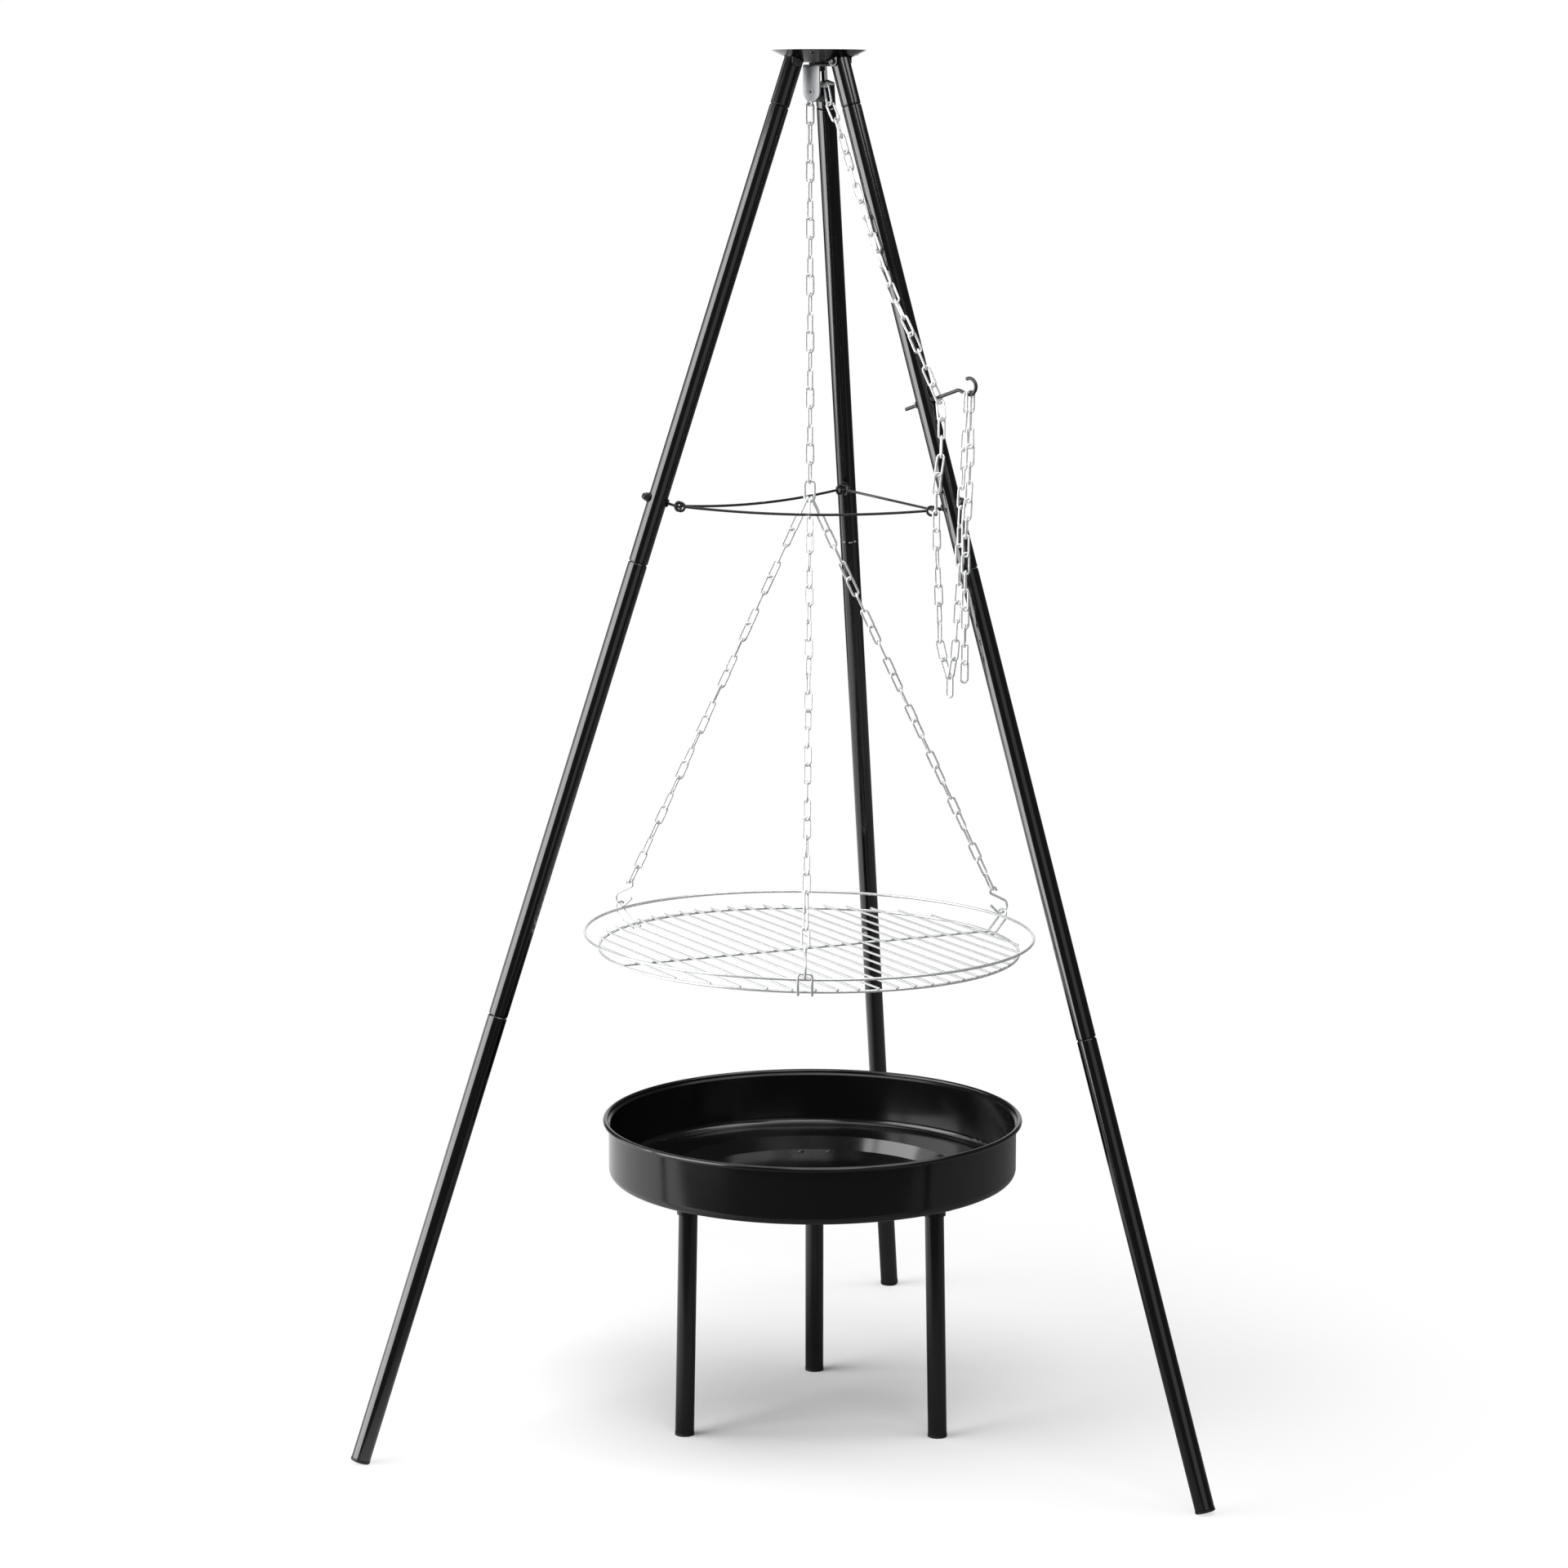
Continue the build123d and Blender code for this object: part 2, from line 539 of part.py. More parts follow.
def hook_nuts():
    """A nut and a washer on each side of the leg."""
    pieces = []
    for side in (-1, 1):
        washer = lathe([(HOOK_ROD_R, 0), (5.2, 0), (5.2, 0.8), (HOOK_ROD_R, 0.8)])
        nut = hexagon(4.0, 2.2) - Cylinder(HOOK_ROD_R, 12)
        for piece, rise in ((washer, 0.1), (nut, 0.9)):
            pieces.append(Rot(0, 90 * side, 0) * Pos(0, 0, TUBE_R + rise) * piece)
    return leg_plane(HOOK_STATION).location * group(pieces)


def slack_joints():
    """The slack: down the front of the right leg from the rod, and up to the crook."""
    low_r, low_z = LOOP_JOINT
    down = [
        beside_leg(ROD_JOINT.X, -0.7, ROD_JOINT.Z),
        beside_leg(182.5, 5, 1181),
        beside_leg(188.5, 14, 1142),
        beside_leg(185, 18, 1110),
        beside_leg(185.5, 18, 1050),
        beside_leg(190.5, 18, 960),
        beside_leg(190.8, 18, 932),
        beside_leg(low_r - LOOP_SHARE, 18, low_z),
    ]
    up = [
        beside_leg(low_r + LOOP_SHARE, 18, low_z),
        beside_leg(212.5, 18, 925),
        beside_leg(218.5, 18, 1010),
        beside_leg(219.3, 18, 1064),
        beside_leg(216.6, 11, 1109),
        beside_leg(213.5, 4.5, 1150),
        beside_leg(CROOK_SEAT.X - 3.2, 0.5, CROOK_SEAT.Z - 21.2),
        beside_leg(CROOK_SEAT.X - CROOK_SHARE, 0, CROOK_SEAT.Z),
    ]
    return joints_along(down), joints_along(up)


def tail_joints():
    """The free end: from the crook down the front of the right leg."""
    route = [
        beside_leg(CROOK_SEAT.X + CROOK_SHARE, 0, CROOK_SEAT.Z),
        beside_leg(CROOK_SEAT.X + 3.4, 2.5, CROOK_SEAT.Z - 21.2),
        beside_leg(224, 7.5, 1171),
        beside_leg(227, 11, 1150),
        beside_leg(231, 18, 1109),
        beside_leg(233, 25, 1064),
        beside_leg(232.5, 25, 1010),
        beside_leg(231.5, 25, 897.5),
    ]
    return joints_along(route)


# ---- stretchers -----------------------------------------------------------------------
def stretcher(first, last, sag):
    """A wire with an eye at each end, slung between the eye bolts of two legs."""
    lug = leg_point(leg_station(STRETCHER_Z), -LUG_OUT)
    ends = [polar(lug.X, LEG_AZIMUTHS[side], lug.Z) for side in (first, last)]
    along = (ends[1] - ends[0]).normalized()
    reach = LUG_R + EYE_R - 2 * STRETCHER_R - 0.3
    drop = Vector(0, 0, LUG_R * cos(radians(30)) * sin(radians(LEAN)))
    solids = []
    tips = []
    for end, way in ((ends[0], along), (ends[1], along * -1)):
        centre = end + way * reach - drop
        side = Vector(0, 0, 1).cross(way)
        solids.append(Plane(centre, x_dir=way, z_dir=side).location * Torus(EYE_R, STRETCHER_R))
        tips.append(centre + way * (EYE_R + 0.2))
    middle = (tips[0] + tips[1]) / 2 - Vector(0, 0, sag)
    path = ThreePointArc(tips[0], middle, tips[1]) if sag else Line(tips[0], tips[1])
    return wire(path, STRETCHER_R) + solids


# ---- grate ----------------------------------------------------------------------------
GRATE_CENTRE = Vector(LIFT_AXIS.X, LIFT_AXIS.Y, 0)
GRATE_FRAME = (
    Pos(GRATE_CENTRE.X, GRATE_CENTRE.Y, RIM_Z)
    * Rot(0, GRATE_TILT, 0)
    * Pos(0, 0, -RIM_Z)
)


def grate_bars():
    """Parallel bars that lie on the base ring and run a little past it."""
    bars = []
    level = BASE_Z + BASE_WIRE_R + BAR_WIRE_R
    for n in range(-BARS_EACH_SIDE, BARS_EACH_SIDE + 1):
        offset = n * BAR_PITCH
        half = sqrt(BASE_R**2 - offset**2) + BAR_REACH
        bar = fillet((Rot(0, 90, 0) * Cylinder(BAR_WIRE_R, 2 * half)).edges(), 0.6)
        bars.append(Rot(0, 0, BAR_AZIMUTH) * Pos(0, offset, level) * bar)
    return bars


def cross_rod():
    """The rod under the bars, across all of them."""
    level = BASE_Z + BASE_WIRE_R - CROSS_ROD_R
    rod = Rot(0, 90, 0) * Cylinder(CROSS_ROD_R, 2 * (BASE_R - BASE_WIRE_R))
    return Rot(0, 0, BAR_AZIMUTH + 90) * Pos(0, 0, level) * rod


def hanger():
    """A wire bail at azimuth 0: in from under the base ring, out and up past the rim, across."""
    foot_z = BASE_Z - BASE_WIRE_R - HANGER_WIRE_R
    side = [
        (BASE_R - 5, foot_z),
        (BASE_R + 4, foot_z),
        (HANGER_R - 0.8, RIM_Z - 3),
        (HANGER_R, HANGER_TOP),
    ]
    points = [(r, -HANGER_HALF, z) for r, z in side] + [(r, HANGER_HALF, z) for r, z in side[::-1]]
    return wire(FilletPolyline(*points, radius=[3.0, 4.0, 4.0, 4.0, 4.0, 3.0]), HANGER_WIRE_R)


S_HOOK_LEAN = 30.0
S_TOP, S_TOP_R = 11.5, 4.3  # centre and radius of the upper bend of an S-hook
S_LOW, S_LOW_R = -11.0, 8.2
S_FLARE = 12.0  # the straight end of the lower bend
HANGER_SEAT = S_LOW - S_LOW_R + HOOK_WIRE_R + HANGER_WIRE_R + 0.1


def s_hook():
    """An S-hook in the XZ plane: closed round the chain above, open inwards below."""
    spread = degrees(atan2(sqrt((S_TOP - S_LOW) ** 2 - (S_TOP_R + S_LOW_R) ** 2), S_TOP_R + S_LOW_R))
    leave = 270.0 - spread
    upper = CenterArc((0, S_TOP), S_TOP_R, -35, leave + 35)
    lower = CenterArc((0, S_LOW), S_LOW_R, leave - 180, -196)
    across_line = Line(upper @ 1, lower @ 0)
    flare = Line(lower @ 1, (lower @ 1) + (lower % 1) * S_FLARE)
    path = Wire([Plane.XZ * edge for edge in (upper, across_line, lower, flare)])
    return sweep((path ^ 0) * Circle(HOOK_WIRE_R), path)


def hanger_frames():
    """Frames of the three hangers, and of the S-hooks that hang on them."""
    for azimuth in HANGER_AZIMUTHS:
        frame = GRATE_FRAME * Rot(0, 0, azimuth)
        bail_top = (frame * Pos(HANGER_R, 0, HANGER_TOP)).position
        upright = Pos(bail_top.X, bail_top.Y, bail_top.Z) * Rot(0, 0, azimuth) * Rot(0, -S_HOOK_LEAN, 0)
        yield frame, upright * Pos(0, 0, -HANGER_SEAT)


JUNCTION_WIRE_R, JUNCTION_HALF = 1.5, 4.1
JUNCTION_AZIMUTH = HANGER_AZIMUTHS[0] + 90


def make_junction_link():
    """The wider link at the end of the lift run, which carries the three bridle chains."""
    top, bottom = lift_joint(LAST_LIFT), lift_joint(LAST_LIFT + 1)
    link = make_link(JUNCTION_WIRE_R, LINK_INNER_LENGTH + 0.4, JUNCTION_HALF)
    return place_link(link, top, bottom, polar(1, JUNCTION_AZIMUTH), 0)


def make_bridle_chains():
    """Three chains from the junction link to the S-hooks."""
    bottom = lift_joint(LAST_LIFT + 1)
    through_junction = polar(1, JUNCTION_AZIMUTH)
    links = []
    for (_, hook), side in zip(hanger_frames(), (0.0, 1.0, -1.0)):
        end = (hook * Pos(0, 0, S_TOP + S_TOP_R - HOOK_WIRE_R - 0.1)).position
        start = bottom + through_junction * (2.6 * side) + Vector(0, 0, 0.2 + 2.5 * abs(side))
        down = (end - start).normalized()
        first_width = down.cross(through_junction).normalized()
        last_width = Vector(0, 0, 1).cross(down).normalized()
        turn = degrees(atan2(-first_width.cross(last_width).dot(down), first_width.dot(last_width)))
        joints = [start + (end - start) * (n / BRIDLE_LINKS) for n in range(BRIDLE_LINKS + 1)]
        links += chain(joints, first_width, 0.0, turn)
    return links


# ---- fire bowl ------------------------------------------------------------------------
BOWL_FRAME = Pos(BOWL_X, BOWL_Y, 0)


def make_fire_bowl():
    """A spun bowl: a rolled rim, an upright wall, a round corner and a sunk middle."""
    wall, inside, low = BOWL_WALL_R, BOWL_WALL_R - BOWL_SHEET, BOWL_FLOOR_Z
    outer, inner = BOWL_CORNER_R, BOWL_CORNER_R - BOWL_SHEET
    top = BOWL_RIM_Z - BOWL_BEAD_R
    bead_r = BOWL_RIM_R - BOWL_BEAD_R
    centre = (wall - outer, low + outer)
    diagonal = sin(pi / 4)
    edges = [
        Polyline(
            (0, BOWL_WELL_Z),
            (BOWL_WELL_R, BOWL_WELL_Z),
            (BOWL_WELL_EDGE_R, low),
            (wall - outer, low),
        ),
        ThreePointArc(
            (wall - outer, low),
            (centre[0] + outer * diagonal, centre[1] - outer * diagonal),
            (wall, low + outer),
        ),
        Polyline((wall, low + outer), (wall, top - 4.6), (bead_r, top - 0.9)),
        Polyline((bead_r, top - 0.9), (bead_r, top + 0.9), (inside, top - 3.4), (inside, low + outer)),
        ThreePointArc(
            (inside, low + outer),
            (centre[0] + inner * diagonal, centre[1] - inner * diagonal),
            (wall - outer, low + BOWL_SHEET),
        ),
        Polyline(
            (wall - outer, low + BOWL_SHEET),
            (BOWL_WELL_EDGE_R - 0.8, low + BOWL_SHEET),
            (BOWL_WELL_R - 0.8, BOWL_WELL_Z + BOWL_SHEET),
            (0, BOWL_WELL_Z + BOWL_SHEET),
            (0, BOWL_WELL_Z),
        ),
    ]
    profile = make_face([edge for line in edges for edge in line.edges()])
    shell = revolve(Plane.XZ * profile, Axis.Z)
    bead = Pos(0, 0, top) * Torus(bead_r, BOWL_BEAD_R)
    points = [point for azimuth in BOWL_LEG_AZIMUTHS for point in bowl_screw_points(azimuth)]
    holes = [Pos(point.X, point.Y, BOWL_WELL_Z) * Cylinder(2.1, 12) for point in points]
    return BOWL_FRAME * (shell + bead - holes)


def bowl_screw_points(azimuth):
    """Where the two screws of one bowl leg go through the sunk middle."""
    return [polar(BOWL_LEG_TOP_R - 9, azimuth) + polar(17, azimuth + side * 90) for side in (-1, 1)]


def bowl_leg_frame(azimuth):
    """The frame of a bowl leg: origin on the floor, z up the leg."""
    foot, top = polar(BOWL_LEG_FOOT_R, azimuth), polar(BOWL_LEG_TOP_R, azimuth, BOWL_WELL_Z)
    return BOWL_FRAME * Plane(foot, x_dir=polar(1, azimuth + 90), z_dir=top - foot).location


def bowl_leg(azimuth):
    """A tube with a round plate welded on top of it."""
    plate_z = BOWL_WELL_Z - BOWL_PLATE
    length = BOWL_WELL_Z - CAP_LIP
    tube = Cylinder(TUBE_R, length) - Cylinder(TUBE_R - TUBE_WALL, length)
    collar = Cylinder(13.2, 12) - Cylinder(TUBE_R - 0.3, 12)
    leg = Pos(0, 0, CAP_LIP + length / 2) * tube + Pos(0, 0, plate_z - 4) * collar
    leg = bowl_leg_frame(azimuth) * leg & below(plate_z)
    middle = polar(BOWL_LEG_TOP_R, azimuth, plate_z + BOWL_PLATE / 2)
    plate = Pos(middle) * Cylinder(BOWL_PLATE_R, BOWL_PLATE)
    plate -= [Pos(p.X, p.Y, plate_z) * Cylinder(2.1, 12) for p in bowl_screw_points(azimuth)]
    return leg + BOWL_FRAME * plate


def bowl_foot(azimuth):
    """The cap in a bowl leg's end, cut level with the floor."""
    sole = Pos(0, 0, -0.5) * Cylinder(CAP_R, 2.5)
    return bowl_leg_frame(azimuth) * (end_cap() + sole) - below(0)


def bowl_screws(azimuth):
    """Two screws through the bowl's floor and the plate, with a nut under each."""
    solids = []
    for point in bowl_screw_points(azimuth):
        seat = BOWL_FRAME * Pos(point.X, point.Y, BOWL_WELL_Z + BOWL_SHEET)
        screw = dome(4.4, 2.2) + Pos(0, 0, -5) * Cylinder(2.05, 10)
        nut = Pos(0, 0, -BOWL_SHEET - BOWL_PLATE - 3.2) * (hexagon(4.2, 3.2) - Cylinder(2.05, 10))
        solids += [seat * screw, seat * nut]
    return solids


# ---- assembly -------------------------------------------------------------------------
def legs():
    """The nodes of each leg: its tubes, its foot, and what is bolted to it."""
    nodes = {}
    stations = [STUB_END + SECTION_LENGTH * n for n in range(3)] + [TUBE_BOTTOM]
    for side, azimuth in LEG_AZIMUTHS.items():
        stub = back_stub_tube() if side == "back" else stub_tube()
        upper = tube_section(stations[0], stations[1], SHORT_SPIGOT)
        upper -= cross_hole(leg_station(STRETCHER_Z), 2.5, False)
        if side == "right":
            upper -= cross_hole(HOOK_STATION, HOOK_ROD_R + 0.1, False)
        pieces = {
            "stub_tube": stub,
            "upper_tube": upper,
            "middle_tube": tube_section(stations[1], stations[2], LONG_SPIGOT),
            "lower_tube": tube_section(stations[2], stations[3], LONG_SPIGOT),
            "foot_cap": foot_cap(),
            "stretcher_bolt": stretcher_bolt(),
            "stretcher_nut": dome_nut(),
        }
        nodes |= {f"{side}_{name}": turned(piece, azimuth) for name, piece in pieces.items()}
    return nodes


def head():
    """The nodes of the head and of the pulley under it."""
    centre_bolt, centre_nut = make_centre_bolt()
    azimuths = LEG_AZIMUTHS.values()
    spacers = [turned(tube, LEG_AZIMUTHS["back"]) for tube in hinge_spacers()]
    spacer, clip = across(-9.0, -7.7, 5.0, AXLE_R + 0.05), across(8.0, 9.2, 5.4, AXLE_R)
    pan_rivet = Pos(0, 0, 0.02) * dome(2.2, 1.4) + Pos(0, 0, -1.7) * Cylinder(1.5, 3.5)
    return {
        "head_pan": make_head_pan(),
        "head_cap": make_head_cap(),
        "pan_rivets": group([frame * pan_rivet for frame in pan_rivet_frames()]),
        "hinge_brackets": group([turned(hinge_bracket(), a) for a in azimuths]),
        "bracket_rivets": group([turned(rivet, a) for a in azimuths for rivet in bracket_rivets()]),
        "hinge_bolts": group([turned(hinge_bolt(), a) for a in azimuths]),
        "hinge_nuts": group([turned(hinge_nut(), a) for a in azimuths] + spacers),
        "centre_bolt": centre_bolt,
        "centre_spacer_and_nut": centre_nut,
        "pulley_strap": make_pulley_strap(),
        "pulley_axle": make_pulley_axle(),
        "pulley_spacer_and_clip": group([WHEEL_FRAME * spacer, WHEEL_FRAME * clip]),
        "pulley_wheel": make_pulley_wheel(),
    }


def chains():
    """The nodes of every chain run."""
    right = LEG_AZIMUTHS["right"]
    facing = polar(1, right - 90)
    down, up = slack_joints()
    loop_top = beside_leg(LOOP_JOINT[0], 18, LOOP_JOINT[1])
    lowest = place_link(LINK, loop_top, loop_top - Vector(0, 0, PITCH), polar(1, right), 0)
    return {
        "pulley_chain": group(wheel_links()),
        "hoist_chain": group(chain(hoist_joints(), AXLE_WAY, WHEEL_TWIST + LINK_TWIST, -12.0)),
        "top_link": group(lift_links(1, 2)),
        "swing_link": group(lift_links(2, 3)),
        "twist_chain": group(lift_links(3, FIRST_LIFT)),
        "lift_chain": group(lift_links(FIRST_LIFT, LAST_LIFT)),
        "junction_link": make_junction_link(),
        "bridle_chains": group(make_bridle_chains()),
        "slack_chain": group(chain(down, facing, -68.0, -4.0) + [lowest] + chain(up, facing, 4.0, 30.0)),
        "chain_tail": group(chain(tail_joints(), facing, -30.0)),
    }


def grate():
    """The nodes of the grate and its S-hooks."""
    hooks, hangers = [], []
    for frame, hook_frame in hanger_frames():
        hangers.append(frame * hanger())
        hooks.append(hook_frame * s_hook())
    return {
        "grate_rim_ring": GRATE_FRAME * Pos(0, 0, RIM_Z) * Torus(RIM_R, RIM_WIRE_R),
        "grate_base_ring": GRATE_FRAME * Pos(0, 0, BASE_Z) * Torus(BASE_R, BASE_WIRE_R),
        "grate_bars": group([GRATE_FRAME * bar for bar in grate_bars()]),
        "grate_cross_rod": GRATE_FRAME * cross_rod(),
        "grate_hangers": group(hangers),
        "s_hooks": group(hooks),
    }


def bowl():
    """The nodes of the fire bowl."""
    return {
        "fire_bowl": make_fire_bowl(),
        "bowl_legs": group([bowl_leg(a) for a in BOWL_LEG_AZIMUTHS]),
        "bowl_feet": group([bowl_foot(a) for a in BOWL_LEG_AZIMUTHS]),
        "bowl_screws": group([s for a in BOWL_LEG_AZIMUTHS for s in bowl_screws(a)]),
    }


def stretchers():
    """The three stretcher wires."""
    return {f"stretcher_{a}_{b}": stretcher(a, b, sag) for (a, b), sag in STRETCHER_SAGS.items()}


def hooks():
    """The chain hook on the right leg."""
    right = LEG_AZIMUTHS["right"]
    return {
        "chain_hook": turned(make_chain_hook(), right),
        "chain_hook_nuts": turned(hook_nuts(), right),
    }


nodes = legs() | head() | chains() | grate() | bowl() | stretchers() | hooks()

# The origin is under the middle of the footprint, between the back and the front soles.
AXIS_Y = -(
    nodes["back_foot_cap"].bounding_box().max.Y + nodes["left_foot_cap"].bounding_box().min.Y
) / 2

os.makedirs("parts", exist_ok=True)
for name, shape in nodes.items():
    export_step(Pos(0, AXIS_Y, 0) * shape, f"parts/{name}.step")
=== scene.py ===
"""A campfire tripod that carries a round grate on chains over a fire bowl."""

import json
import logging
import math
from dataclasses import dataclass
from enum import StrEnum
from typing import Any, Iterable, Sequence

import bmesh
import bpy
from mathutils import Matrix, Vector

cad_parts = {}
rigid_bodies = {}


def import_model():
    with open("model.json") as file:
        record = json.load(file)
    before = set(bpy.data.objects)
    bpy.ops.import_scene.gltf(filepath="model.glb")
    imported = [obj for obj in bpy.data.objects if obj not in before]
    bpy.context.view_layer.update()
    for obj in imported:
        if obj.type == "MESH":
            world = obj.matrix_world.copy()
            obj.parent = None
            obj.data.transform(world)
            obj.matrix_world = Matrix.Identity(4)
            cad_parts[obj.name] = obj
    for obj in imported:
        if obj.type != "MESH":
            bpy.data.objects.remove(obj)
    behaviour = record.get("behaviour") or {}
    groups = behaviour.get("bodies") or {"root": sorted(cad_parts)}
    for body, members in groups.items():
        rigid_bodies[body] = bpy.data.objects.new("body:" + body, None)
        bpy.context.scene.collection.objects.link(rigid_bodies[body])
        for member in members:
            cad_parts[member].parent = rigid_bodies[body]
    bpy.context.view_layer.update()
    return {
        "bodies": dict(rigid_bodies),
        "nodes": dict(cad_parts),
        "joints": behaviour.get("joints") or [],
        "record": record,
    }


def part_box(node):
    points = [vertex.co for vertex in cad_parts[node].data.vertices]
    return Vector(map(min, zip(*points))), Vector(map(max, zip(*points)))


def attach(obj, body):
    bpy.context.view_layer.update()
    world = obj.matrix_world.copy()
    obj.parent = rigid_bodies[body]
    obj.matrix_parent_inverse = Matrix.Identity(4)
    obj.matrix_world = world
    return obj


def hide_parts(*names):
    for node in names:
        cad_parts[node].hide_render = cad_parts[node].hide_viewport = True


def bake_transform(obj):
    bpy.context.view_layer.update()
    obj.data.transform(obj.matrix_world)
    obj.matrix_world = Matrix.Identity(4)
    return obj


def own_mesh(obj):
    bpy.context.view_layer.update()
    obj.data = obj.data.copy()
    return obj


log = logging.getLogger("tripod")

SAME_POINT_M = 1e-6
SHARP_EDGE_DEG = 35
# The colour sockets of a mix node, whose names its other sockets have too.
MIX_COLOUR_A, MIX_COLOUR_B, MIX_COLOUR_RESULT = 6, 7, 2
Frame = dict[str, Any]
Tree = bpy.types.NodeTree


class Side(StrEnum):
    """The three legs, by where they stand."""

    LEFT = "left"
    RIGHT = "right"
    BACK = "back"


# ---- small tools ----------------------------------------------------------------------


def linear(hex_colour: str, alpha: float = 1.0) -> tuple[float, float, float, float]:
    """Turn an sRGB hex colour into linear values.

    Args:
        hex_colour: Six hex digits, with or without a leading #.
        alpha: The opacity that goes with it.

    Returns:
        Red, green, blue and alpha, from 0 to 1.
    """
    digits = hex_colour.lstrip("#")
    channels = [int(digits[i : i + 2], 16) / 255 for i in (0, 2, 4)]
    r, g, b = (c / 12.92 if c <= 0.04045 else ((c + 0.055) / 1.055) ** 2.4 for c in channels)
    return (r, g, b, alpha)


def add_node(
    tree: Tree, kind: str, settings: dict[str, Any] | None = None, **links: Any
) -> bpy.types.Node:
    """Add a shader node with its settings and links.

    Args:
        tree: The node tree it goes into.
        kind: The node's type, such as ShaderNodeBump.
        settings: Node properties by name, and input values by socket name.
        **links: An output socket or a value for each input, spaces written as underscores.

    Returns:
        The new node.
    """
    node = tree.nodes.new(kind)
    for name, value in (settings or {}).items():
        if hasattr(node, name):
            setattr(node, name, value)
        else:
            node.inputs[name].default_value = value
    for name, source in links.items():
        socket = node.inputs[name.replace("_", " ")]
        if isinstance(source, bpy.types.NodeSocket):
            tree.links.new(source, socket)
        else:
            socket.default_value = source
    return node


def noise(
    tree: Tree,
    place: bpy.types.NodeSocket,
    scale: float,
    detail: float,
    roughness: float = 0.5,
) -> bpy.types.NodeSocket:
    """Add noise to a material.

    Args:
        tree: The material's tree.
        place: Where the noise is read.
        scale: How many of its waves make a metre.
        detail: How many finer layers it has.
        roughness: How strong the finer layers are.

    Returns:
        The noise, from 0 to 1.
    """
    look = {"Scale": scale, "Detail": detail, "Roughness": roughness}
    return add_node(tree, "ShaderNodeTexNoise", look, Vector=place).outputs["Fac"]


def deselect() -> None:
    """Leave nothing selected."""
    if bpy.context.object and bpy.context.object.mode != "OBJECT":
        bpy.ops.object.mode_set(mode="OBJECT")
    bpy.ops.object.select_all(action="DESELECT")


def pick(piece: bpy.types.Object) -> None:
    """Select one object and make it the active one."""
    deselect()
    piece.select_set(True)
    bpy.context.view_layer.objects.active = piece


def settle(piece: bpy.types.Object) -> None:
    """Put an object's place into its mesh, so that the object sits at the origin."""
    pick(piece)
    bpy.ops.object.transform_apply(location=True, rotation=True, scale=True)


def copy_of_node(frame: Frame, node: str, name: str) -> bpy.types.Object:
    """Copy a node of the frame into a piece of its own, with its triangles merged.

    Args:
        frame: The loaded frame.
        node: The node to copy.
        name: The new piece's name.

    Returns:
        The new piece, which rides on nothing yet.
    """
    mesh = bpy.data.meshes.new(name)
    shell = bmesh.new()
    shell.from_mesh(frame["nodes"][node].data)
    bmesh.ops.remove_doubles(shell, verts=shell.verts, dist=SAME_POINT_M)
    shell.to_mesh(mesh)
    shell.free()
    piece = bpy.data.objects.new(name, mesh)
    bpy.context.scene.collection.objects.link(piece)
    pick(piece)
    bpy.ops.object.shade_smooth_by_angle(angle=math.radians(SHARP_EDGE_DEG))
    return piece


# ---- finishes -------------------------------------------------------------------------


